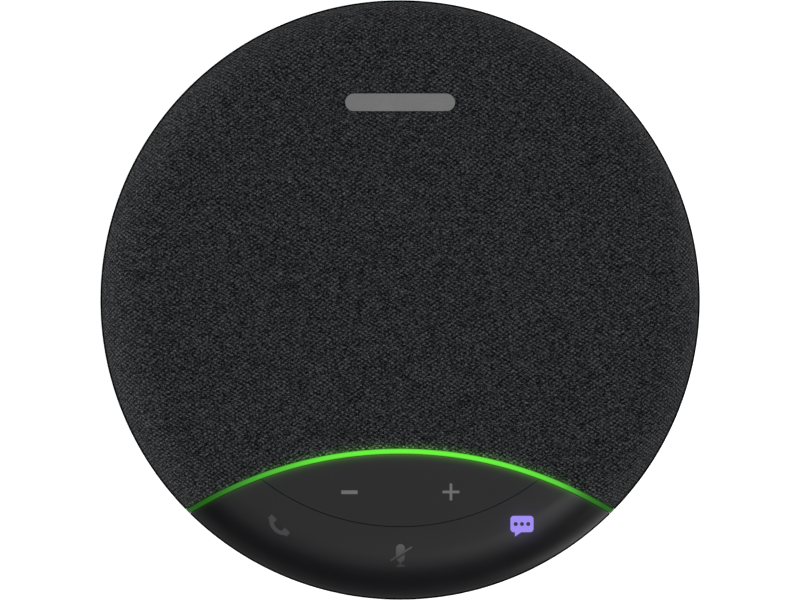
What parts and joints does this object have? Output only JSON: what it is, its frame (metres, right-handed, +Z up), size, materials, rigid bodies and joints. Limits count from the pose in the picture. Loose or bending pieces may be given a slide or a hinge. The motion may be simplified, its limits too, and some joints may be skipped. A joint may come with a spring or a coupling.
{
  "type": "conference speakerphone",
  "caption": "Low round speakerphone with a cloth-covered top, a crescent key panel along the front edge and a curved green light bar between them.",
  "frame": {"origin": "centre of the case in the plane its foot ring rests on", "axes": "+Z up through the flat top, -Y towards the user and the key panel, +Y the rear with the cable port, +X to the user's right"},
  "size_m": [0.125, 0.125, 0.0386],
  "materials": {
    "foot_rubber": "matt, fine grain",
    "base_plastic": "fine spark texture",
    "button_plastic": "satin",
    "switch_plastic": "moulded",
    "plated_steel": "tin plated",
    "board_laminate": "solder mask",
    "chip_black": "moulded epoxy",
    "screw_steel": "zinc plated",
    "battery_wrap": "foil pouch",
    "foam_black": "closed cell foam",
    "inner_plastic": "moulded",
    "cloth": "woven acoustic cloth, dark thread with bright flecks",
    "badge_metal": "satin, blank",
    "light_guide_green": "frosted light guide, lit green",
    "led_white": "clear lens",
    "mat_rubber": "silicone",
    "panel_plastic": "satin, soft touch",
    "icon_grey": "translucent inlay",
    "icon_violet": "translucent inlay, lit violet",
    "flex_amber": "polyimide film",
    "basket_black": "satin black",
    "motor_steel": "zinc plated",
    "magnet_ferrite": "sintered ferrite",
    "coil_copper": "enamelled copper wire",
    "cone_paper": "black pulp",
    "surround_rubber": "butyl rubber",
    "spider_cloth": "resin-stiffened cloth",
    "lead_jacket": "insulated wire"
  },
  "bodies": {
    "chassis": {"foot_ring": "foot_rubber", "bottom_casing": "base_plastic", "port_panel": "base_plastic", "power_switch": "switch_plastic", "pairing_switch": "switch_plastic", "usb_tongue": "switch_plastic", "usb_receptacle": "plated_steel", "shield_can": "plated_steel", "main_board": "board_laminate", "keypad_board": "board_laminate", "light_strip_board": "board_laminate", "microphone_boards": "board_laminate", "board_parts": "chip_black", "base_screws": "screw_steel", "main_board_screws": "screw_steel", "keypad_screws": "screw_steel", "key_tray_screws": "screw_steel", "baffle_screws": "screw_steel", "driver_screws": "screw_steel", "key_pivot_pin": "screw_steel", "battery_pack": "battery_wrap", "battery_pad": "foam_black", "chamber_seal": "foam_black", "driver_gasket": "foam_black", "top_frame": "inner_plastic", "speaker_chamber": "inner_plastic", "speaker_baffle": "inner_plastic", "key_tray": "inner_plastic", "fabric_cover": "cloth", "badge": "badge_metal", "light_bar": "light_guide_green", "light_leds": "led_white", "key_leds": "led_white", "keypad_mat": "mat_rubber", "microphone_boots": "mat_rubber", "front_bezel": "panel_plastic", "microphone_flex": "flex_amber", "keypad_ribbon": "flex_amber", "driver_basket": "basket_black", "driver_yoke": "motor_steel", "driver_top_plate": "motor_steel", "driver_magnet": "magnet_ferrite", "cone_surround": "surround_rubber", "spider": "spider_cloth", "driver_leads": "lead_jacket", "battery_leads": "lead_jacket"},
    "volume_rocker": {"volume_key": "panel_plastic", "volume_icons": "icon_grey"},
    "function_roller": {"function_cradle": "inner_plastic"},
    "function_cap": {"function_key": "panel_plastic", "call_icon": "icon_grey", "mute_icon": "icon_grey", "meeting_icon": "icon_violet"},
    "power_push": {"power_button": "button_plastic"},
    "power_plunger": {"power_switch_plunger": "switch_plastic"},
    "pairing_push": {"pairing_button": "button_plastic"},
    "pairing_plunger": {"pairing_switch_plunger": "switch_plastic"},
    "moving_coil_assembly": {"voice_coil": "coil_copper", "speaker_cone": "cone_paper", "dust_cap": "cone_paper"}
  },
  "joints": [
    {"name": "volume_rock", "type": "hinge", "parent": "chassis", "child": "volume_rocker", "pos_m": [0, -0.0439, 0.0341], "axis": [0, 1, 0], "range_deg": [-1.35, 1.35], "stiffness_Nm_per_rad": 0.35, "deforming": ["keypad_mat"]},
    {"name": "function_roll", "type": "hinge", "parent": "chassis", "child": "function_roller", "pos_m": [0, -0.0488, 0.0341], "axis": [0, 1, 0], "range_deg": [-0.57, 0.57], "stiffness_Nm_per_rad": 0.35, "deforming": ["keypad_mat"]},
    {"name": "mute_press", "type": "slide", "parent": "function_roller", "child": "function_cap", "axis": [0, 0, -1], "range_m": [0, 0.00025], "stiffness_N_per_m": 800, "deforming": ["keypad_mat"]},
    {"name": "power_press", "type": "slide", "parent": "chassis", "child": "power_push", "axis": [0, -1, 0], "range_m": [0, 0.00035], "stiffness_N_per_m": 600},
    {"name": "power_switch_press", "type": "slide", "parent": "chassis", "child": "power_plunger", "axis": [0, -1, 0], "range_m": [0, 0.00035]},
    {"name": "pairing_press", "type": "slide", "parent": "chassis", "child": "pairing_push", "axis": [0, -1, 0], "range_m": [0, 0.00035], "stiffness_N_per_m": 600},
    {"name": "pairing_switch_press", "type": "slide", "parent": "chassis", "child": "pairing_plunger", "axis": [0, -1, 0], "range_m": [0, 0.00035]},
    {"name": "cone_travel", "type": "slide", "parent": "chassis", "child": "moving_coil_assembly", "axis": [0, 0, 1], "range_m": [-0.0015, 0.0015], "stiffness_N_per_m": 1200, "deforming": ["cone_surround", "spider"]}
  ],
  "couplings": [
    {"joint": "power_switch_press", "follows": "power_press", "ratio": 1},
    {"joint": "pairing_switch_press", "follows": "pairing_press", "ratio": 1}
  ]
}
